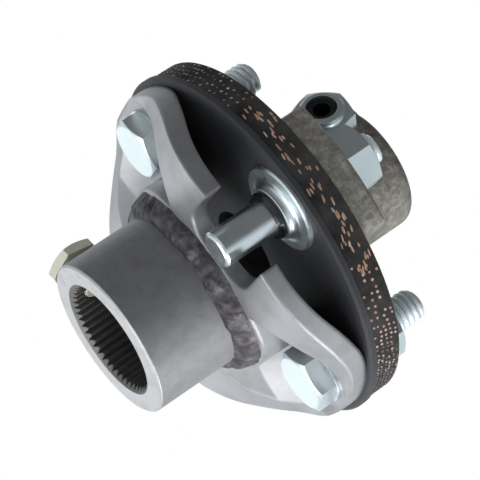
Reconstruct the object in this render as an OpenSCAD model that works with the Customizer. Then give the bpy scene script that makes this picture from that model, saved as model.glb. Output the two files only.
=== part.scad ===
// Steering rag joint: splined column hub on an arched flange, a laminated rubber disc,
// and a box coupler bolted behind it. Millimetres, joint axis along Z, hub up,
// origin on the axis at the free end of the box coupler.

/* [Rag disc] */
// radius of the fabric band
rag_r = 40.6; // [36:0.1:45]
// thickness of the whole disc
rag_t = 8.2; // [6:0.1:12]
// thickness of the smooth front cover
cover_t = 1.9; // [1:0.1:3]
// how far the cover stands out past the fabric
cover_lip = 0.5; // [0.2:0.1:1]
// radius of the hole in the middle
rag_hole_r = 9; // [6:0.1:12]

/* [Column flange] */
// plan radius of the round plate
flange_r = 39.6; // [35:0.1:42]
// sheet thickness
flange_t = 4; // [3:0.1:5]
// height of the crown's top over the disc
crown_h = 14.8; // [10:0.1:18]
// half width of the flat part of the crown
crown_flat = 9.5; // [6:0.1:12]
// outer radius of the shoulder bend
bend_r = 31.3; // [20:0.1:40]
// inner radius of the foot bend
foot_r = 6.7; // [4:0.1:12]
// slope of the straight leg in degrees
leg_angle = 33; // [25:0.5:40]
// width of the slot for a stop pin
slot_w = 18.6; // [14:0.1:24]
// corner radius at the bottom of that slot
slot_corner = 6; // [3:0.5:8]
// radius of the flat pad under a bolt head
pocket_r = 9; // [8.4:0.1:11]
// thickness of that pad
pad_t = 2.7; // [2:0.1:3]
// slope of the dish round the pad in degrees
dish_angle = 27; // [22:0.5:45]
// radius at which the dish turns steeper
dish_r = 18; // [14:0.5:20]
// slope of its steeper part in degrees
steep_angle = 52; // [40:1:70]
// wall under the dish, square to it
dish_wall = 3; // [2:0.1:4]
// room between the weld and the dish
dish_gap = 1; // [0.4:0.1:2]

/* [Column hub] */
// outside radius of the sleeve
hub_r = 17.9; // [16:0.1:22]
// height of the sleeve over the top of the crown
hub_len = 21.5; // [15:0.1:30]
// radius of the plain bore at the tooth tips
hub_bore_r = 12.2; // [9:0.1:14]
// number of spline teeth
spline_n = 48; // [24:1:60]
// depth of a spline groove
spline_depth = 0.8; // [0.4:0.05:1.2]
// length of the splined part of the bore
spline_len = 19; // [10:0.5:24]
// edge break on the sleeve
hub_chamfer = 0.4; // [0.2:0.1:1.5]
// reach of the weld past the sleeve
weld_reach = 3.2; // [2:0.1:5]
// height of the weld up the sleeve
weld_rise = 3.4; // [2:0.1:5]

/* [Fasteners] */
// radius of the bolt circle
bolt_circle_r = 30; // [26:0.1:34]
// radius of the stop pin circle
pin_circle_r = 31; // [26:0.1:34]
// shank radius of the flange bolts
bolt_r = 3.95; // [3:0.05:5]
// depth of a fastener's thread, which is drawn as a plain root
thread_depth = 0.55; // [0.3:0.05:0.8]
// size across flats of heads and nuts
hex_af = 12.7; // [10:0.1:14]
// height of a flange bolt head
head_h = 4.4; // [3:0.1:6]
// turn of the first bolt head in degrees
head_turn_1 = 48; // [0:1:59]
// turn of the second bolt head in degrees
head_turn_2 = 32; // [0:1:59]
// thickness of a plain washer
washer_t = 0.6; // [0.4:0.1:2]
// radius of a front washer
front_washer_r = 7.3; // [6.5:0.1:8]
// thickness of a rear washer
rear_washer_t = 1.6; // [1:0.1:2.5]
// radius of a rear washer
rear_washer_r = 9; // [8:0.1:10]
// height of a nut
nut_h = 6.4; // [5:0.1:8]
// length of bolt past its nut
bolt_past = 8.1; // [3:0.1:12]
// radius of a stop pin
pin_r = 4; // [3:0.05:5]
// reach of a stop pin in front of the disc
pin_reach = 17; // [12:0.1:22]
// radius of a pin washer
pin_washer_r = 9.8; // [8:0.1:10]
// rim thickness of a pin washer
pin_washer_t = 1; // [0.6:0.1:2]
// radius of the raised middle of a pin washer
pin_step_r = 6; // [5.5:0.1:7]
// height of the raised middle of a pin washer
pin_step_h = 2.8; // [2.2:0.1:3.2]
// thickness of the rubber ring on a pin
ring_t = 1.2; // [0.8:0.1:2]
// height of a pin nut
pin_nut_h = 6.6; // [4:0.1:8]
// length of pin past its nut
pin_past = 2.8; // [1:0.1:5]

/* [Box coupler] */
// radius of the ear ends
ear_r = 39.6; // [35:0.1:42]
// width of the ears
ear_w = 29; // [22:0.5:34]
// corner radius of the ears
ear_corner = 3; // [1:0.5:6]
// thickness of the ears
ear_t = 6; // [4:0.1:8]
// radius of the round body
body_r = 14.4; // [13:0.1:18]
// length of the round body behind the ears
body_len = 21.2; // [16:0.1:28]
// rounding of the body's free edge
body_round = 2.6; // [1:0.1:4]
// radius of the shaft bore
coupler_bore_r = 9.5; // [7:0.05:11]
// direction of the set screw in degrees from the bolts
screw_angle = 122; // [100:1:150]
// height of the set screw over the free end
screw_z = 11.7; // [9:0.1:12.5]
// radius of the screw boss
boss_r = 8.2; // [7.6:0.1:9.4]
// distance of the boss face from the axis
boss_out = 18.6; // [16:0.1:21]
// radius of the set screw
screw_r = 3.3; // [2.8:0.05:3.8]
// size across flats of the lock nut
lock_nut_af = 12; // [10.5:0.1:14]
// height of the lock nut
lock_nut_h = 7; // [6:0.1:8]
// radius of the round collar on the lock nut
collar_r = 4.5; // [4.3:0.1:4.8]
// height of that collar
collar_h = 1.6; // [1:0.1:3]
// radius of the hole in the end of the set screw
socket_r = 1.9; // [1.2:0.05:2.2]
// depth of that hole
socket_depth = 5; // [3:0.5:8]

/* [Hub set bolt] */
// direction of the set bolt in degrees from the bolts
set_angle = 207; // [150:1:240]
// distance of the set bolt from the hub's end face
set_drop = 6.4; // [5.5:0.1:9]
// shank radius of the set bolt
set_r = 3.2; // [2.5:0.05:4]
// width of its head across the flats
set_af = 11.1; // [10:0.1:12.7]
// height of its head
set_head_h = 2.5; // [2:0.1:5]
// turn of its head in degrees
set_turn = 13; // [0:1:59]
// how far its head stands off the hub
set_stand = 1; // [0.3:0.1:3]
// how far its tip stays back from the bore
set_back = 0.2; // [0.1:0.1:1]

/* [Clearances] */
// gap round a shank in a hole
hole_gap = 0.1; // [0.05:0.05:0.5]
// gap between a screw and its mating thread
thread_gap = 0.05; // [0.03:0.01:0.2]

/* [Hidden] */
ear_z = body_len;
rag_z = ear_z + ear_t;
face_z = rag_z + rag_t;
seat_z = face_z + flange_t;
pad_z = face_z + pad_t;
crown_z = face_z + crown_h;
hub_z = crown_z - flange_t;
top_z = crown_z + hub_len;
bend_z = crown_z - bend_r;
shoulder_x = crown_flat + bend_r * sin(leg_angle);
shoulder_z = bend_z + bend_r * cos(leg_angle);
foot_top = seat_z + foot_r * (1 - cos(leg_angle));
leg_run = (shoulder_z - foot_top) / tan(leg_angle);
foot_x = shoulder_x + leg_run + foot_r * sin(leg_angle);
foot_z = seat_z + foot_r;
slot_in = hub_r + weld_reach + 0.4;
dish_in = hub_r + weld_reach + dish_gap;
big = 3 * rag_r;
bolt_hole_r = bolt_r + hole_gap;
pin_hole_r = pin_r + hole_gap;
set_z = top_z - set_drop;
set_rest = hub_r + set_stand;
step = 0.01;
$fa = 3;
$fs = 0.4;

// a hexagon prism with turned corners at its upper end
module hex(af, h) {
    corner = af / sqrt(3);
    intersection() {
        cylinder(h = h, r = corner, $fn = 6);
        union() {
            cylinder(h = h - 0.75, r = corner + 1, $fn = 96);
            translate([0, 0, h - 0.75])
                cylinder(h = 0.75, r1 = corner + 0.25, r2 = af / 2 - 0.25, $fn = 96);
        }
    }
}

// a plain shank with a turned end at its lower side
module shank(r, lo, hi) {
    tip = 0.6;
    translate([0, 0, lo]) cylinder(h = tip, r1 = r - tip, r2 = r, $fn = 64);
    translate([0, 0, lo + tip]) cylinder(h = hi - lo - tip, r = r, $fn = 64);
}

// a shank whose lower part is a plain thread root up to the height mid
module threaded(r, lo, mid, hi) {
    shank(r - thread_depth, lo, mid + step);
    translate([0, 0, mid]) cylinder(h = hi - mid, r = r, $fn = 64);
}

module ring(ro, ri, z, h) {
    translate([0, 0, z])
        difference() {
            cylinder(h = h, r = ro, $fn = 96);
            translate([0, 0, -1]) cylinder(h = h + 2, r = ri, $fn = 96);
        }
}

module nut(af, h, r, z) {
    translate([0, 0, z + h])
        mirror([0, 0, 1])
            difference() {
                hex(af, h);
                translate([0, 0, -1]) cylinder(h = h + 2, r = r - thread_depth + thread_gap, $fn = 64);
            }
}

// the plate's upper line on one side, from the middle outwards, lowered square to itself by d
function half_line(d) = concat(
    [for (a = [0:1.5:leg_angle])
        [crown_flat + (bend_r - d) * sin(a), bend_z + (bend_r - d) * cos(a)]],
    [for (a = [leg_angle:-3:0])
        [foot_x - (foot_r + d) * sin(a), foot_z - (foot_r + d) * cos(a)]],
    [[flange_r + 8, seat_z - d]]);

function flip(pts) = [for (i = [len(pts) - 1:-1:0]) [-pts[i][0], pts[i][1]]];

function whole_line(d) = concat(flip(half_line(d)), half_line(d));

function back(pts) = [for (i = [len(pts) - 1:-1:0]) pts[i]];

module across(pts) {
    rotate([90, 0, 0]) linear_extrude(height = big, center = true) polygon(pts);
}

// all that lies under the plate's upper line lowered by d
module under(d) {
    across(concat(whole_line(d), [[flange_r + 8, face_z - 3], [-flange_r - 8, face_z - 3]]));
}

// the bent sheet before it is cut round
module sheet() {
    across(concat(whole_line(0), back(whole_line(flange_t))));
}

module slots() {
    for (s = [1, -1])
        scale([1, s, 1])
            translate([0, slot_in, 0]) {
                translate([-slot_w / 2, slot_corner, face_z - 5]) cube([slot_w, big, crown_h + 20]);
                translate([-slot_w / 2 + slot_corner, 0, face_z - 5])
                    cube([slot_w - 2 * slot_corner, big, crown_h + 20]);
                for (t = [1, -1])
                    translate([t * (slot_w / 2 - slot_corner), slot_corner, face_z - 5])
                        cylinder(h = crown_h + 20, r = slot_corner, $fn = 96);
            }
}

// a dish that opens upwards from the pad at height z, wider by grow all round
module dish(z, grow) {
    rise = (dish_r - pocket_r) * tan(dish_angle);
    wide = dish_r + crown_h / tan(steep_angle);
    translate([0, 0, z])
        rotate_extrude($fn = 128)
            polygon([[0, 0], [pocket_r + grow, 0], [dish_r + grow, rise],
                [wide + grow, rise + crown_h], [0, rise + crown_h]]);
}

module column_flange() {
    drop = dish_wall / cos(dish_angle);
    color([0.62, 0.62, 0.64])
        difference() {
            intersection() {
                union() {
                    sheet();
                    difference() {
                        for (s = [1, -1])
                            intersection() {
                                translate([s * bolt_circle_r, 0, 0]) dish(pad_z - drop, drop / 3);
                                under(flange_t / 2);
                            }
                        cylinder(h = big, r = dish_in - dish_wall, $fn = 128);
                    }
                }
                translate([0, 0, face_z]) cylinder(h = crown_h + 5, r = flange_r, $fn = 180);
            }
            difference() {
                for (s = [1, -1])
                    translate([s * bolt_circle_r, 0, 0]) dish(pad_z, 0);
                cylinder(h = 2 * big, r = dish_in, $fn = 128);
            }
            for (s = [1, -1])
                translate([s * bolt_circle_r, 0, face_z - 2]) cylinder(h = 20, r = bolt_hole_r, $fn = 64);
            translate([0, 0, face_z - 2]) cylinder(h = crown_h + 10, r = hub_r + hole_gap, $fn = 128);
            slots();
        }
}

module spline_grooves() {
    pitch = 360 / spline_n;
    reach = hub_bore_r + spline_depth;
    base = hub_bore_r - 0.25;
    pts = [for (i = [0:2 * spline_n - 1])
        let (r = i % 2 == 0 ? reach : base, a = i * pitch / 2)
        [r * cos(a), r * sin(a)]];
    translate([0, 0, top_z - spline_len]) linear_extrude(height = spline_len + 1) polygon(pts);
}

module column_hub() {
    len = top_z - hub_z;
    mouth = spline_depth + 0.3;
    color([0.6, 0.6, 0.61])
        difference() {
            translate([0, 0, hub_z])
                rotate_extrude($fn = 180)
                    polygon([[hub_bore_r, 0], [hub_r, 0], [hub_r, len - hub_chamfer],
                        [hub_r - hub_chamfer, len], [hub_bore_r + mouth, len],
                        [hub_bore_r, len - mouth]]);
            spline_grooves();
            rotate([0, 0, set_angle]) translate([0, 0, set_z]) rotate([0, 90, 0])
                cylinder(h = hub_r + 5, r = set_r + thread_gap, $fn = 64);
        }
}

module hub_weld() {
    color([0.36, 0.33, 0.34])
        difference() {
            translate([0, 0, crown_z - 6])
                rotate_extrude($fn = 180)
                    polygon([[hub_r - 2, 0], [hub_r + weld_reach, 0], [hub_r + weld_reach, 6],
                        [hub_r + weld_reach * 0.72, 6 + weld_rise * 0.55],
                        [hub_r + weld_reach * 0.3, 6 + weld_rise * 0.9], [hub_r - 2, 6 + weld_rise]]);
            translate([0, 0, hub_z - 10]) cylinder(h = 60, r = hub_r, $fn = 180);
            under(0);
        }
}

module hub_set_bolt() {
    inner = hub_bore_r + set_back;
    color([0.78, 0.76, 0.6])
        rotate([0, 0, set_angle]) translate([0, 0, set_z]) rotate([0, 90, 0]) {
            shank(set_r, inner, set_rest + step);
            translate([0, 0, set_rest]) rotate([0, 0, set_turn]) hex(set_af, set_head_h);
        }
}

module flange_bolt(s) {
    lo = rag_z - rear_washer_t - nut_h - bolt_past;
    color([0.78, 0.8, 0.8])
        translate([s * bolt_circle_r, 0, 0]) {
            threaded(bolt_r, lo, rag_z - rear_washer_t, pad_z + washer_t + step);
            translate([0, 0, pad_z + washer_t])
                rotate([0, 0, s > 0 ? head_turn_1 : head_turn_2]) hex(hex_af, head_h);
        }
}

module front_washer(s) {
    color([0.74, 0.75, 0.74])
        translate([s * bolt_circle_r, 0, 0]) ring(front_washer_r, bolt_hole_r, pad_z, washer_t);
}

module rear_washer(s) {
    color([0.74, 0.75, 0.74])
        translate([s * bolt_circle_r, 0, 0])
            ring(rear_washer_r, bolt_hole_r, rag_z - rear_washer_t, rear_washer_t);
}

module flange_nut(s) {
    color([0.74, 0.76, 0.76])
        translate([s * bolt_circle_r, 0, 0]) nut(hex_af, nut_h, bolt_r, rag_z - rear_washer_t - nut_h);
}

module rag_disc() {
    mid = rag_t - cover_t;
    color([0.09, 0.09, 0.1])
        translate([0, 0, rag_z])
            difference() {
                rotate_extrude($fn = 180)
                    polygon([[rag_hole_r, 0], [rag_r - 0.4, 0], [rag_r, 0.4], [rag_r, mid],
                        [rag_r + cover_lip, mid + 0.25], [rag_r + cover_lip, rag_t - 0.5],
                        [rag_r + cover_lip - 0.5, rag_t], [rag_hole_r, rag_t]]);
                for (s = [1, -1]) {
                    translate([s * bolt_circle_r, 0, -1])
                        cylinder(h = rag_t + 2, r = bolt_hole_r, $fn = 64);
                    translate([0, s * pin_circle_r, -1])
                        cylinder(h = rag_t + 2, r = pin_hole_r, $fn = 64);
                }
            }
}

module stop_pin(s) {
    lo = ear_z - pin_nut_h - pin_past;
    tip = face_z + pin_reach;
    color([0.82, 0.84, 0.85])
        translate([0, s * pin_circle_r, 0]) {
            threaded(pin_r, lo, ear_z, tip - 1);
            translate([0, 0, tip - 1])
                rotate_extrude($fn = 64)
                    polygon([[0, -step], [pin_r, -step], [pin_r, 0.3], [pin_r - 0.25, 0.75],
                        [pin_r - 0.8, 1], [0, 1]]);
        }
}

module pin_washer(s) {
    flare = pin_step_h - pin_washer_t;
    color([0.82, 0.84, 0.85])
        translate([0, s * pin_circle_r, face_z])
            rotate_extrude($fn = 96)
                polygon(concat([[pin_hole_r, 0], [pin_washer_r, 0], [pin_washer_r, pin_washer_t * 0.6],
                    [pin_washer_r - 0.4, pin_washer_t]],
                    [for (a = [90:-15:0])
                        [pin_step_r + flare * (1 - cos(a)), pin_step_h - flare * sin(a)]],
                    [[pin_step_r - 0.3, pin_step_h + 0.1], [pin_hole_r, pin_step_h + 0.1]]));
}

module pin_ring(s) {
    color([0.06, 0.06, 0.07])
        translate([0, s * pin_circle_r, face_z + pin_step_h + 0.1])
            rotate_extrude($fn = 64)
                polygon([[pin_hole_r, 0], [pin_r + ring_t, 0], [pin_r + ring_t + 0.15, ring_t * 0.5],
                    [pin_r + ring_t - 0.2, ring_t], [pin_hole_r, ring_t]]);
}

module pin_nut(s) {
    color([0.74, 0.76, 0.76])
        translate([0, s * pin_circle_r, 0])
            rotate([0, 0, 30]) nut(hex_af, pin_nut_h, pin_r, ear_z - pin_nut_h);
}

// half of the ears' outline, from the right side over the end to the left side
function ear_half() =
    let (half = ear_w / 2 - ear_corner,
        y = sqrt(pow(ear_r - ear_corner, 2) - half * half),
        b = atan2(y, half))
    concat(
        [for (a = [0:b / 8:b]) [half + ear_corner * cos(a), y + ear_corner * sin(a)]],
        [for (i = [1:11]) let (a = b + i * (180 - 2 * b) / 12) [ear_r * cos(a), ear_r * sin(a)]],
        [for (i = [0:8])
            let (a = 180 - b + i * b / 8)
            [-half + ear_corner * cos(a), y + ear_corner * sin(a)]]);

function turn(pts) = [for (p = pts) [-p[0], -p[1]]];

module ear_plate() {
    edge = 0.7;
    intersection() {
        translate([0, 0, ear_z]) linear_extrude(height = ear_t) polygon(concat(ear_half(), turn(ear_half())));
        translate([0, 0, ear_z])
            rotate_extrude($fn = 180)
                polygon([[0, 0], [ear_r - edge, 0], [ear_r + edge, 2 * edge],
                    [ear_r + edge, ear_t], [0, ear_t]]);
    }
    translate([0, 0, ear_z - step]) cylinder(h = ear_t / 2, r = body_r + 2.5, $fn = 128);
}

module box_coupler() {
    color([0.36, 0.34, 0.32])
        difference() {
            union() {
                ear_plate();
                rotate_extrude($fn = 180)
                    polygon(concat([[0, 0], [body_r - body_round, 0]],
                        [for (a = [-75:15:0])
                            [body_r - body_round + body_round * cos(a),
                                body_round + body_round * sin(a)]],
                        [[body_r, body_len], [body_r, body_len + 1], [0, body_len + 1]]));
                rotate([0, 0, screw_angle]) translate([0, 0, screw_z]) rotate([0, 90, 0])
                    cylinder(h = boss_out, r = boss_r, $fn = 96);
            }
            translate([0, 0, -1]) cylinder(h = rag_z + 2, r = coupler_bore_r, $fn = 128);
            translate([0, 0, -step]) cylinder(h = 0.6, r1 = coupler_bore_r + 0.6, r2 = coupler_bore_r, $fn = 128);
            for (s = [1, -1])
                translate([0, s * pin_circle_r, ear_z - 1])
                    cylinder(h = ear_t + 2, r = pin_hole_r, $fn = 64);
            rotate([0, 0, screw_angle]) translate([0, 0, screw_z]) rotate([0, 90, 0])
                cylinder(h = boss_out + 5, r = screw_r + thread_gap, $fn = 64);
        }
}

module coupler_set_screw() {
    end = boss_out + lock_nut_h - 0.8;
    color([0.3, 0.3, 0.3])
        rotate([0, 0, screw_angle]) translate([0, 0, screw_z]) rotate([0, 90, 0])
            difference() {
                shank(screw_r, coupler_bore_r + set_back, end);
                translate([0, 0, end - socket_depth]) cylinder(h = socket_depth + 1, r = socket_r, $fn = 64);
            }
}

module coupler_lock_nut() {
    waist = lock_nut_h - collar_h;
    color([0.78, 0.8, 0.8])
        rotate([0, 0, screw_angle]) translate([0, 0, screw_z]) rotate([0, 90, 0])
            translate([0, 0, boss_out])
                difference() {
                    union() {
                        rotate([0, 0, 18]) hex(lock_nut_af, waist);
                        translate([0, 0, waist - step])
                            rotate_extrude($fn = 96)
                                polygon([[0, 0], [collar_r + 0.6, 0], [collar_r + 0.4, collar_h * 0.5],
                                    [collar_r, collar_h * 0.85], [collar_r - 0.4, collar_h], [0, collar_h]]);
                    }
                    translate([0, 0, -1])
                        cylinder(h = lock_nut_h + 2, r = screw_r + thread_gap, $fn = 64);
                }
}

column_hub();
hub_weld();
column_flange();
hub_set_bolt();
flange_bolt(1);  // flange_bolt_1
flange_bolt(-1);  // flange_bolt_2
front_washer(1);  // front_washer_1
front_washer(-1);  // front_washer_2
rear_washer(1);  // rear_washer_1
rear_washer(-1);  // rear_washer_2
flange_nut(1);  // flange_nut_1
flange_nut(-1);  // flange_nut_2
rag_disc();
stop_pin(1);  // stop_pin_1
stop_pin(-1);  // stop_pin_2
pin_washer(1);  // pin_washer_1
pin_washer(-1);  // pin_washer_2
pin_ring(1);  // pin_ring_1
pin_ring(-1);  // pin_ring_2
pin_nut(1);  // pin_nut_1
pin_nut(-1);  // pin_nut_2
box_coupler();
coupler_set_screw();
coupler_lock_nut();
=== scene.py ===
import math
import random

import bpy
from mathutils import Matrix, Vector, noise


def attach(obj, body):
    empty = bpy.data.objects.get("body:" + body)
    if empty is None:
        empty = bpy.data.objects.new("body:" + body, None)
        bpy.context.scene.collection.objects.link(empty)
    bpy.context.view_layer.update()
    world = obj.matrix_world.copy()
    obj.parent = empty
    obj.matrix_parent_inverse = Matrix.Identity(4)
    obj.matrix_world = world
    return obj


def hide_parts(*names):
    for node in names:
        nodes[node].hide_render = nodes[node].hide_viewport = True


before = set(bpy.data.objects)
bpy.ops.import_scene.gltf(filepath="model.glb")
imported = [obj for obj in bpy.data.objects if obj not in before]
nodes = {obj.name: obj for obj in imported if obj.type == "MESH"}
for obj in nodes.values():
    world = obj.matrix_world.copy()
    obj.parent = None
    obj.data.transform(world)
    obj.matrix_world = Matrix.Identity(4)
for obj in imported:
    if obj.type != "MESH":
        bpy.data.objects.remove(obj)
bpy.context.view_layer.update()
scene = bpy.context.scene
MM = 0.001

# Sizes of the solids, in millimetres: heights from the floor, radii from the joint's axis
RAG_Z, FACE_Z, RAG_R, COVER_T = 27.2, 35.4, 40.6, 1.9
CROWN_Z, TOP_Z, HUB_R = 50.2, 71.7, 17.9
CROWN_FLAT, BEND_R, LEG = 9.5, 31.3, math.radians(33)
BOLT_X, BOLT_R, BOLT_LO = 30.0, 3.95, 11.1
PIN_Y, PIN_R, PIN_LO = 31.0, 4.0, 11.8

# The sleeve's end face: its depth below the top, where its painted light begins, and the radius where the
# bore's painted shade begins
END_DEPTH, SHADED_BORE_EDGE = 0.45, 13.4

# Threads: pitch, depth and steps in a turn, where each ridge starts and ends, and the ridge's half widths
PITCH, THREAD_DEPTH, THREAD_STEPS = 1.41, 0.55, 40
BOLT_THREAD = (BOLT_LO + 0.8, 20.5)
PIN_THREAD = (PIN_LO + 0.7, 15.2)
CREST, FLANK, SINK = 0.1, 0.6, 0.05

# The weld bead: how far it reaches out and up, its ripples and its mesh
WELD_REACH, WELD_RISE, WELD_SINK = 3.45, 3.4, 0.15
RIPPLES, WELD_AROUND, WELD_ACROSS = 23, 300, 10

# Cut cord ends: their band on the rim and their forms, with angles along the rim in degrees.
# Each run of dots has its side of the dashes, its first angle, its span and its biggest half size.
CORD_LO, CORD_HI = RAG_Z + 0.7, FACE_Z - COVER_T - 0.3
CORD_SEED, CORD_SIDES, CORD_SINK, CORD_MARGIN = 11, 10, 0.03, 0.3
DASH_TALL, DOT_TALL, DOT_TILT, DOT_SLANT = 0.14, 0.15, 0.55, 0.5
DASH_FROM, DASH_TO = 62, 121
DOT_RUNS = ((1, 61.0, 61.0, 0.42), (-1, 122.0, 58.0, 0.35))
COPPER, TAN, DULL = 0, 1, 2


# Material helpers

def shader(m):
    return m.node_tree.nodes["Principled BSDF"]


def new_mat(name, color, metallic, rough, spec=0.5):
    m = bpy.data.materials.new(name)
    m.use_nodes = True
    b = shader(m)
    b.inputs["Base Color"].default_value = (*color, 1)
    b.inputs["Metallic"].default_value = metallic
    b.inputs["Roughness"].default_value = rough
    b.inputs["Specular IOR Level"].default_value = spec
    return m


def clouds(m, scale, detail=4.0, rough=0.6):
    """Noise in the object's own space, from 0 to 1."""
    t = m.node_tree
    co = t.nodes.new("ShaderNodeTexCoord")
    n = t.nodes.new("ShaderNodeTexNoise")
    n.inputs["Scale"].default_value = scale
    n.inputs["Detail"].default_value = detail
    n.inputs["Roughness"].default_value = rough
    t.links.new(co.outputs["Object"], n.inputs["Vector"])
    return n.outputs["Fac"]


def ramp(m, src, stops):
    t = m.node_tree
    r = t.nodes.new("ShaderNodeValToRGB")
    e = r.color_ramp.elements
    while len(e) < len(stops):
        e.new(0.5)
    for k, (p, c) in enumerate(stops):
        e[k].position = p
        e[k].color = (*c, 1)
    t.links.new(src, r.inputs["Fac"])
    return r.outputs["Color"]


def grey(v):
    return (v, v, v)


def set_color(m, out):
    m.node_tree.links.new(out, shader(m).inputs["Base Color"])


def set_rough(m, out):
    m.node_tree.links.new(out, shader(m).inputs["Roughness"])


def bump(m, height, strength, depth):
    """Relief from a height, with its depth in millimetres."""
    t = m.node_tree
    b = t.nodes.new("ShaderNodeBump")
    b.inputs["Strength"].default_value = strength
    b.inputs["Distance"].default_value = depth * MM
    t.links.new(height, b.inputs["Height"])
    t.links.new(b.outputs["Normal"], shader(m).inputs["Normal"])


def soft_edges(m, radius):
    """Rounds the edges' shading, as a tumbled or plated edge looks. It comes after any bump."""
    t = m.node_tree
    b = t.nodes.new("ShaderNodeBevel")
    b.samples = 6
    b.inputs["Radius"].default_value = radius * MM
    to = shader(m).inputs["Normal"]
    for n in t.nodes:
        if n.bl_idname == "ShaderNodeBump":
            to = n.inputs["Normal"]
    t.links.new(b.outputs["Normal"], to)


def height(m):
    t = m.node_tree
    co = t.nodes.new("ShaderNodeTexCoord")
    sep = t.nodes.new("ShaderNodeSeparateXYZ")
    t.links.new(co.outputs["Object"], sep.inputs["Vector"])
    return sep.outputs["Z"]


def axis_distance(m):
    t = m.node_tree
    co = t.nodes.new("ShaderNodeTexCoord")
    flat = t.nodes.new("ShaderNodeVectorMath")
    flat.operation = "MULTIPLY"
    flat.inputs[1].default_value = (1, 1, 0)
    far = t.nodes.new("ShaderNodeVectorMath")
    far.operation = "LENGTH"
    t.links.new(co.outputs["Object"], flat.inputs[0])
    t.links.new(flat.outputs["Vector"], far.inputs[0])
    return far.outputs["Value"]


def compare(m, value, op, limit):
    """1 where the value passes a limit in millimetres, and 0 elsewhere."""
    t = m.node_tree
    c = t.nodes.new("ShaderNodeMath")
    c.operation = op
    c.inputs[1].default_value = limit * MM
    t.links.new(value, c.inputs[0])
    return c.outputs["Value"]


def blend_colors(m, fac, a, b):
    """The colour a where the factor is 0, and b where it is 1. The numbers are a mix node's colour sockets."""
    t = m.node_tree
    x = t.nodes.new("ShaderNodeMix")
    x.data_type = "RGBA"
    t.links.new(fac, x.inputs[0])
    t.links.new(a, x.inputs[6])
    t.links.new(b, x.inputs[7])
    return x.outputs[2]


# Materials

def hub_steel():
    """The sleeve: a dull skin, an end face painted lighter as painted light from the top lamp, and a splined
    bore painted darker as painted shade inside it.
    """
    m = new_mat("hub_steel", (0.3, 0.3, 0.305), 0.68, 0.46, 0.25)
    fac = clouds(m, 330, 8, 0.7)
    skin = ramp(m, fac, [(0.22, (0.21, 0.205, 0.2)), (0.42, (0.28, 0.278, 0.28)), (0.7, (0.33, 0.33, 0.335))])
    # Painted light: the end face, which faces the top lamp, gets a lighter colour than the skin
    face = ramp(m, fac, [(0.3, (0.38, 0.38, 0.38)), (0.5, (0.46, 0.46, 0.47)), (0.8, (0.5, 0.5, 0.51))])
    # Painted shade: the bore inside this radius gets a darker colour for the shade in the hole
    bore = ramp(m, fac, [(0.3, (0.12, 0.115, 0.11)), (0.7, (0.18, 0.175, 0.17))])
    lit_end_mask = compare(m, height(m), "GREATER_THAN", TOP_Z - END_DEPTH)
    shaded_bore_mask = compare(m, axis_distance(m), "LESS_THAN", SHADED_BORE_EDGE)
    set_color(m, blend_colors(m, shaded_bore_mask, blend_colors(m, lit_end_mask, skin, face), bore))
    bump(m, clouds(m, 900, 3), 0.12, 0.2)
    soft_edges(m, 0.4)
    return m


def flange_steel():
    m = new_mat("flange_steel", (0.46, 0.455, 0.47), 0.75, 0.42, 0.25)
    stops = [(0.25, (0.31, 0.305, 0.3)), (0.55, (0.385, 0.385, 0.405)), (0.78, (0.345, 0.33, 0.31))]
    set_color(m, ramp(m, clouds(m, 120, 6), stops))
    bump(m, clouds(m, 700, 3), 0.1, 0.2)
    soft_edges(m, 1.1)
    return m


def weld_metal():
    m = new_mat("weld_bead", (0.2, 0.18, 0.19), 0.6, 0.5)
    fac = clouds(m, 420, 6)
    stops = [(0.25, (0.025, 0.021, 0.023)), (0.5, (0.075, 0.068, 0.072)), (0.78, (0.2, 0.193, 0.2))]
    set_color(m, ramp(m, fac, stops))
    bump(m, fac, 0.6, 0.6)
    return m


def zinc_plate():
    m = new_mat("zinc_plate", (0.66, 0.74, 0.76), 0.9, 0.3, 0.4)
    set_rough(m, ramp(m, clouds(m, 300), [(0.3, grey(0.26)), (0.7, grey(0.36))]))
    soft_edges(m, 0.25)
    return m


def yellow_zinc():
    m = new_mat("zinc_yellow", (0.7, 0.68, 0.56), 0.3, 0.35, 0.4)
    set_color(m, ramp(m, clouds(m, 220), [(0.3, (0.66, 0.63, 0.5)), (0.65, (0.76, 0.75, 0.66))]))
    soft_edges(m, 0.2)
    return m


def cast_iron():
    m = new_mat("cast_iron", (0.17, 0.155, 0.135), 0.55, 0.55)
    fac = clouds(m, 620, 8, 0.75)
    stops = [(0.26, (0.12, 0.108, 0.09)), (0.5, (0.3, 0.282, 0.25)),
        (0.62, (0.44, 0.42, 0.38)), (0.72, (0.75, 0.73, 0.68))]
    set_color(m, ramp(m, fac, stops))
    bump(m, fac, 0.55, 0.6)
    soft_edges(m, 0.6)
    return m


def rag_rubber():
    """The disc: a smooth moulded face over a darker, rougher cut rim."""
    m = new_mat("rag_rubber", (0.012, 0.012, 0.014), 0.0, 0.6, 0.22)
    rim = compare(m, height(m), "LESS_THAN", FACE_Z - COVER_T)
    fac = clouds(m, 160, 5)
    skin = ramp(m, fac, [(0.3, (0.04, 0.04, 0.045)), (0.7, (0.054, 0.054, 0.059))])
    cut = ramp(m, fac, [(0.35, (0.018, 0.016, 0.016)), (0.65, (0.055, 0.05, 0.05))])
    set_color(m, blend_colors(m, rim, skin, cut))
    set_rough(m, ramp(m, rim, [(0.0, grey(0.55)), (1.0, grey(0.8))]))
    bump(m, clouds(m, 1100), 0.25, 0.3)
    return m


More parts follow.
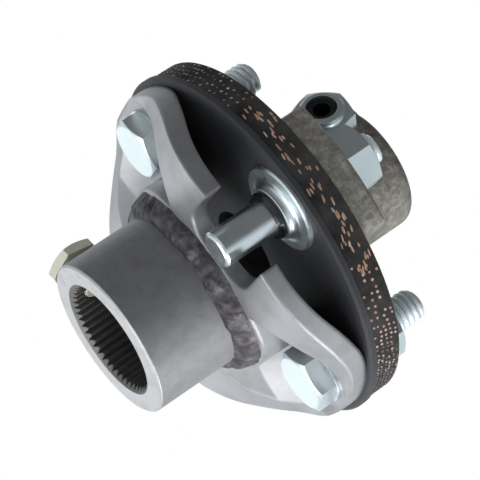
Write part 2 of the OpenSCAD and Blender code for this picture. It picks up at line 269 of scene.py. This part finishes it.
def mottled(name, color, metallic, rough, spec, scale, tone, gloss):
    """A colour and a roughness with slight clouds of tone and gloss about them."""
    m = new_mat(name, color, metallic, rough, spec)
    fac = clouds(m, scale)
    dark = tuple(c * (1 - tone) for c in color)
    light = tuple(min(1.0, c * (1 + tone)) for c in color)
    set_color(m, ramp(m, fac, [(0.3, dark), (0.7, light)]))
    set_rough(m, ramp(m, fac, [(0.3, grey(rough * (1 - gloss))), (0.7, grey(rough * (1 + gloss)))]))
    return m


# Clouds of the smaller pieces: noise scale, change of tone and change of gloss
METAL, DARK, FIBRE = (300, 0.05, 0.2), (500, 0.25, 0.2), (900, 0.2, 0.1)

weld_m = weld_metal()
zinc_m = zinc_plate()
thread_m = mottled("zinc_thread", (0.8, 0.88, 0.92), 0.4, 0.42, 0.4, *METAL)
pin_m = mottled("zinc_bright", (0.72, 0.79, 0.82), 0.95, 0.24, 0.5, *METAL)
disc_m = mottled("zinc_disc", (0.6, 0.66, 0.69), 0.95, 0.33, 0.5, *METAL)
ring_m = mottled("ring_rubber", (0.01, 0.01, 0.011), 0.0, 0.12, 0.6, *DARK)
black_m = mottled("black_oxide", (0.02, 0.02, 0.02), 0.5, 0.45, 0.5, *DARK)
cord_m = mottled("cord_copper", (0.42, 0.25, 0.175), 0.0, 0.7, 0.3, *FIBRE)
tan_m = mottled("cord_tan", (0.5, 0.36, 0.31), 0.0, 0.7, 0.3, *FIBRE)
dull_m = mottled("cord_dull", (0.15, 0.13, 0.13), 0.0, 0.75, 0.3, *FIBRE)

SINGLE = {"column_hub": hub_steel(), "hub_weld": weld_m, "column_flange": flange_steel(),
    "hub_set_bolt": yellow_zinc(), "rag_disc": rag_rubber(), "box_coupler": cast_iron(),
    "coupler_set_screw": black_m, "coupler_lock_nut": zinc_m}
PAIRED = {"flange_bolt": zinc_m, "front_washer": zinc_m, "rear_washer": zinc_m, "flange_nut": zinc_m,
    "stop_pin": pin_m, "pin_washer": disc_m, "pin_ring": ring_m, "pin_nut": zinc_m}
for name, ob in nodes.items():
    ob.data.materials.clear()
    ob.data.materials.append(SINGLE.get(name) or PAIRED[name.rsplit("_", 1)[0]])


# Pieces

def add_mesh(name, verts, faces, mats, ids=None):
    """A smooth mesh from points in millimetres, with a material index for each face where ids are given."""
    me = bpy.data.meshes.new(name)
    me.from_pydata([tuple(c * MM for c in v) for v in verts], [], faces)
    for m in mats:
        me.materials.append(m)
    if ids:
        for p, k in zip(me.polygons, ids):
            p.material_index = k
    for p in me.polygons:
        p.use_smooth = True
    me.update()
    ob = bpy.data.objects.new(name, me)
    scene.collection.objects.link(ob)
    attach(ob, "root")
    return ob


def thread(name, cx, cy, ends, r, mat):
    """A right hand helical ridge from the thread root to the full radius, fading at both ends."""
    lo, hi = ends
    total = int((hi - lo) / PITCH * THREAD_STEPS)
    run_in, run_out, least = 0.6 * THREAD_STEPS, 0.3 * THREAD_STEPS, 0.02
    verts, faces = [], []
    for i in range(total + 1):
        a = 2 * math.pi * i / THREAD_STEPS
        z = lo + PITCH * i / THREAD_STEPS
        rise = THREAD_DEPTH * min(1.0, i / run_in, (total - i) / run_out + least)
        for dr, dz in ((-SINK, -FLANK), (rise, -CREST), (rise, CREST), (-SINK, FLANK)):
            q = r - THREAD_DEPTH + dr
            verts.append((cx + q * math.cos(a), cy + q * math.sin(a), z + dz))
    for i in range(total):
        for k in range(3):
            a = 4 * i + k
            faces.append((a, a + 4, a + 5, a + 1))
    ob = add_mesh(name, verts, faces, [mat])


def plate_z(x):
    """Height of the arched plate's upper face."""
    d = abs(x) - CROWN_FLAT
    if d <= 0:
        return CROWN_Z
    centre, bend = CROWN_Z - BEND_R, BEND_R * math.sin(LEG)
    if d <= bend:
        return centre + math.sqrt(BEND_R ** 2 - d * d)
    return centre + BEND_R * math.cos(LEG) - (d - bend) * math.tan(LEG)


def weld_bead():
    """A rippled, uneven fillet round the sleeve, from its wall down to the arched plate."""
    verts, faces = [], []
    for i in range(WELD_AROUND):
        a = 2 * math.pi * i / WELD_AROUND
        c, s = math.cos(a), math.sin(a)
        sway = 2.6 * math.sin(a * 3) + 1.9 * math.sin(a * 7 + 1)
        rip = 0.5 + 0.5 * math.sin(a * RIPPLES + sway)
        rise = WELD_RISE + 0.7 * noise.noise(Vector((c * 3, s * 3, 0.3))) + 0.2 * rip
        reach = WELD_REACH + 0.5 * noise.noise(Vector((c * 4, s * 4, 5.1))) + 0.15 * rip
        top = plate_z(HUB_R * c) + rise
        low = plate_z((HUB_R + reach) * c) - 0.12
        for k in range(WELD_ACROSS + 1):
            t = k / WELD_ACROSS
            swell = math.sin(math.pi * min(1.0, t * 1.02)) * (0.7 + 0.22 * rip)
            swell += 0.55 * noise.noise(Vector((c * 19, s * 19, t * 3))) * math.sin(math.pi * t)
            r = HUB_R - WELD_SINK + (reach + WELD_SINK) * t + 0.6 * swell
            verts.append((r * c, r * s, top + (low - top) * t + 0.8 * swell))
    w = WELD_ACROSS + 1
    for i in range(WELD_AROUND):
        j = (i + 1) % WELD_AROUND
        for k in range(WELD_ACROSS):
            faces.append((i * w + k, i * w + k + 1, j * w + k + 1, j * w + k))
    ob = add_mesh("weld_bead", verts, faces, [weld_m])
    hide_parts("hub_weld")


def dot_kind(side, g, pick):
    """Copper and tan next to the dashes, where g is 0, and dull at the bolts, where it is 1."""
    if side > 0:
        if g < 0.5:
            return COPPER if pick < 0.4 else TAN
        return TAN if pick < 0.35 and g < 0.72 else DULL
    if g < 0.1 and pick < 0.6:
        return COPPER
    return TAN if pick < 0.55 - 0.5 * g else DULL


def cord_ends():
    """Cut cord ends in the rim: clumped dashes at the pins, slanted rows of dots between them."""
    rnd = random.Random(CORD_SEED)
    verts, faces, ids = [], [], []

    def cord(a, z, half_t, half_z, tilt, kind, tall):
        """A low oval cone on the rim, left out where it would pass the band."""
        if z - half_z < CORD_LO - CORD_MARGIN or z + half_z > CORD_HI + CORD_MARGIN:
            return
        base = len(verts)
        r0 = RAG_R - CORD_SINK
        verts.append(((r0 + tall) * math.cos(a), (r0 + tall) * math.sin(a), z))
        for k in range(CORD_SIDES):
            f = 2 * math.pi * k / CORD_SIDES
            dt, dz = half_t * math.cos(f), half_z * math.sin(f)
            b = a + (dt * math.cos(tilt) - dz * math.sin(tilt)) / RAG_R
            w = dt * math.sin(tilt) + dz * math.cos(tilt)
            verts.append((r0 * math.cos(b), r0 * math.sin(b), z + w))
        for k in range(CORD_SIDES):
            faces.append((base, base + 1 + k, base + 1 + (k + 1) % CORD_SIDES))
            ids.append(kind)

    def dashes(half):
        """Clumps of dashes, where the cords run nearly along the rim."""
        a = math.radians(DASH_FROM)
        while a < math.radians(DASH_TO):
            z0 = rnd.uniform(CORD_LO + 0.8, CORD_HI - 0.6)
            for _ in range(rnd.choice((4, 5, 6, 7))):
                along = rnd.uniform(-1.5, 1.5) / RAG_R
                z = z0 + rnd.uniform(-1.9, 1.9)
                half_t, half_z, tilt = rnd.uniform(0.6, 1.2), rnd.uniform(0.2, 0.31), rnd.uniform(-0.3, 0.12)
                kind = COPPER if rnd.random() < 0.8 else TAN
                cord(half + a + along, z, half_t, half_z, tilt, kind, DASH_TALL)
            a += rnd.uniform(2.6, 3.9) / RAG_R

    def dots(half, side, first, span, biggest):
        """Rows of dots from the dashes to a bolt, closer, flatter and duller towards the bolt."""
        g = 0.0
        while g < 1.0:
            rows = 4 if g < 0.35 else (5 if g < 0.6 else 6)
            for k in range(rows):
                z = CORD_LO + 0.1 + (CORD_HI - CORD_LO - 0.2) * (k + rnd.uniform(-0.2, 0.2)) / (rows - 1)
                slant = (DOT_SLANT * k + rnd.uniform(-0.25, 0.25)) / RAG_R
                a = half + math.radians(first - side * span * g) + slant
                pick = rnd.random()
                if pick > 0.92:
                    continue
                size = (biggest - 0.1 * g) * rnd.uniform(0.85, 1.1)
                half_t, half_z = size * (1.0 + 0.45 * g), size * (0.9 - 0.15 * g)
                cord(a, z, half_t, half_z, DOT_TILT, dot_kind(side, g, pick), DOT_TALL)
            g += (1.75 - 0.75 * min(1.0, g * 1.5)) / RAG_R / math.radians(span)

    for half in (0.0, math.pi):
        dashes(half)
        for run in DOT_RUNS:
            dots(half, *run)
    ob = add_mesh("cord_ends", verts, faces, [cord_m, tan_m, dull_m], ids)


for k, s in ((1, 1), (2, -1)):
    thread("bolt_thread_%d" % k, s * BOLT_X, 0, BOLT_THREAD, BOLT_R, thread_m)
    thread("pin_thread_%d" % k, 0, s * PIN_Y, PIN_THREAD, PIN_R, thread_m)
weld_bead()
cord_ends()


# Floor, light and camera, with places in metres

def white_to_camera(t, kind, shade, surface):
    """Shows plain white to the camera, while the shade node lights and bounces as it is."""
    white = t.nodes.new(kind)
    white.inputs["Color"].default_value = (1, 1, 1, 1)
    white.inputs["Strength"].default_value = 1.0
    mix = t.nodes.new("ShaderNodeMixShader")
    path = t.nodes.new("ShaderNodeLightPath")
    t.links.new(path.outputs["Is Camera Ray"], mix.inputs["Fac"])
    t.links.new(shade.outputs[0], mix.inputs[1])
    t.links.new(white.outputs[0], mix.inputs[2])
    t.links.new(mix.outputs[0], surface)


def floor():
    half = 3
    me = bpy.data.meshes.new("floor")
    me.from_pydata([(-half, -half, 0), (half, -half, 0), (half, half, 0), (-half, half, 0)], [], [(0, 1, 2, 3)])
    ob = bpy.data.objects.new("floor", me)
    scene.collection.objects.link(ob)
    m = bpy.data.materials.new("floor_white")
    m.use_nodes = True
    t = m.node_tree
    t.nodes.clear()
    out = t.nodes.new("ShaderNodeOutputMaterial")
    pale = t.nodes.new("ShaderNodeBsdfDiffuse")
    pale.inputs["Color"].default_value = (0.5, 0.5, 0.5, 1)
    white_to_camera(t, "ShaderNodeEmission", pale, out.inputs["Surface"])
    me.materials.append(m)
    ob.visible_glossy = False


# Bright sides of the studio: a direction, and how far each one's brightness is cut back
BRIGHT_SIDES = (((1, 0, 0.1), 0.05), ((0, -1, 0.15), 0.0), ((-0.15, 0, 1), 0.1))
SIDE_BLEND, STUDIO_STRENGTH = 0.2, 0.9
STUDIO_DARK, STUDIO_BRIGHT = (0.25, (0.155, 0.155, 0.155, 1)), (0.66, (0.84, 0.89, 0.92, 1))


def studio():
    """Surroundings with three bright sides that run into each other."""
    world = bpy.data.worlds.new("studio")
    scene.world = world
    world.use_nodes = True
    t = world.node_tree
    t.nodes.clear()
    out = t.nodes.new("ShaderNodeOutputWorld")
    co = t.nodes.new("ShaderNodeTexCoord")
    best = None
    for way, cut in BRIGHT_SIDES:
        dot = t.nodes.new("ShaderNodeVectorMath")
        dot.operation = "DOT_PRODUCT"
        dot.inputs[1].default_value = Vector(way).normalized()
        t.links.new(co.outputs["Generated"], dot.inputs[0])
        less = t.nodes.new("ShaderNodeMath")
        less.operation = "SUBTRACT"
        less.inputs[1].default_value = cut
        t.links.new(dot.outputs["Value"], less.inputs[0])
        if best is None:
            best = less.outputs["Value"]
            continue
        top = t.nodes.new("ShaderNodeMath")
        top.operation = "SMOOTH_MAX"
        top.inputs[2].default_value = SIDE_BLEND
        t.links.new(best, top.inputs[0])
        t.links.new(less.outputs["Value"], top.inputs[1])
        best = top.outputs["Value"]
    tone = t.nodes.new("ShaderNodeValToRGB")
    for e, (position, color) in zip(tone.color_ramp.elements, (STUDIO_DARK, STUDIO_BRIGHT)):
        e.position = position
        e.color = color
    t.links.new(best, tone.inputs["Fac"])
    env = t.nodes.new("ShaderNodeBackground")
    env.inputs["Strength"].default_value = STUDIO_STRENGTH
    t.links.new(tone.outputs["Color"], env.inputs["Color"])
    white_to_camera(t, "ShaderNodeBackground", env, out.inputs["Surface"])


def area(name, loc, size, power):
    """A square soft light aimed at the middle of the part."""
    aim = Vector((0, 0, 0.04))
    li = bpy.data.lights.new(name, "AREA")
    li.shape = "SQUARE"
    li.size = size
    li.energy = power
    ob = bpy.data.objects.new(name, li)
    ob.location = loc
    ob.rotation_euler = (aim - Vector(loc)).to_track_quat("-Z", "Y").to_euler()
    scene.collection.objects.link(ob)


# The fitted camera: focal length and picture width in pixels, angles, and distance and offsets in millimetres
F_PX, PICTURE_PX, SENSOR = 2508.58, 480, 36
AZ, EL, ROLL = math.radians(-5.19), math.radians(20.22), math.radians(2.11)
DIST, SHIFT_RIGHT, SHIFT_DOWN, AIM_Z = 525.71, -7.97, 7.72, 47
# Cosine and sine of the turn of the whole picture
TURN_COS, TURN_SIN = 0.525, 0.851


def camera():
    """Stands where the photograph's perspective puts it, rolled so that the hub points down left."""
    v = Vector((-math.sin(AZ) * math.cos(EL), math.cos(AZ) * math.cos(EL), math.sin(EL)))
    u = Vector((math.cos(AZ), math.sin(AZ), 0))
    z = u.cross(v)
    u, z = math.cos(ROLL) * u + math.sin(ROLL) * z, -math.sin(ROLL) * u + math.cos(ROLL) * z
    right = (TURN_COS * u - TURN_SIN * z).normalized()
    down = (TURN_SIN * u + TURN_COS * z).normalized()
    cam = bpy.data.cameras.new("camera")
    cam.sensor_width = SENSOR
    cam.lens = F_PX * SENSOR / PICTURE_PX
    cam.clip_start, cam.clip_end = 0.01, 20
    ob = bpy.data.objects.new("camera", cam)
    place = Matrix((right, -down, v)).transposed().to_4x4()
    place.translation = (Vector((0, 0, AIM_Z)) + v * DIST - right * SHIFT_RIGHT - down * SHIFT_DOWN) * MM
    ob.matrix_world = place
    scene.collection.objects.link(ob)
    scene.camera = ob


floor()
studio()
area("top_soft", (0.1, -0.05, 0.75), 0.55, 3.0)
area("side_soft", (0.7, -0.05, 0.2), 0.5, 4.0)
area("back_soft", (-0.05, -0.7, 0.3), 0.5, 0.4)
camera()
scene.view_settings.view_transform = "Standard"
